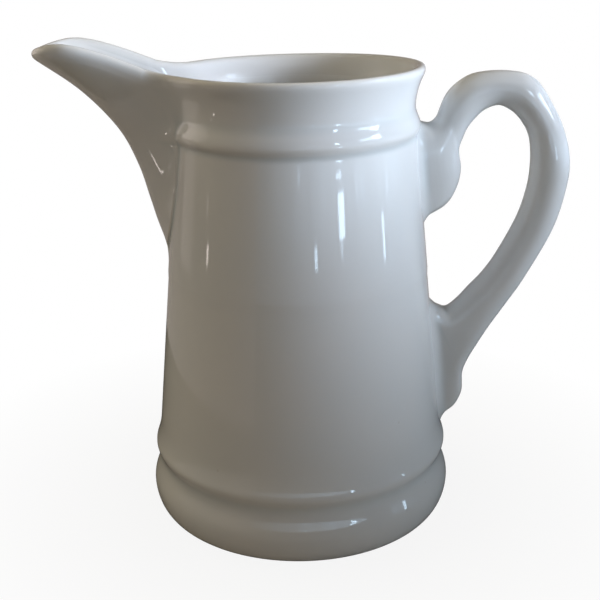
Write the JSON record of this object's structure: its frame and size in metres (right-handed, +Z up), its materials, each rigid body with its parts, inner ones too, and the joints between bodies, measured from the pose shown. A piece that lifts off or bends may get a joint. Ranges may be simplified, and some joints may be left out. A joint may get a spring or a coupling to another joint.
{
  "type": "water jug",
  "caption": "Tapered white porcelain table pitcher with a beak spout, a collar under its flared rim, a banded foot and a scrolled loop handle, for holding and pouring water.",
  "frame": {"origin": "on the turned body's axis, on the table that the foot ring stands on", "axes": "+Z up along the body's axis, -X out along the spout, +X out through the handle, Y across; the XZ plane is the plane of symmetry"},
  "size_m": [0.2195, 0.1328, 0.2029],
  "materials": {
    "white_glaze": "polished",
    "glazed_slip": "gloss"
  },
  "bodies": {
    "root": {"jug_body": "white_glaze", "pouring_spout": "white_glaze", "handle": "white_glaze", "spout_slip_seam": "glazed_slip", "upper_handle_slip": "glazed_slip", "lower_handle_slip": "glazed_slip"}
  },
  "joints": []
}
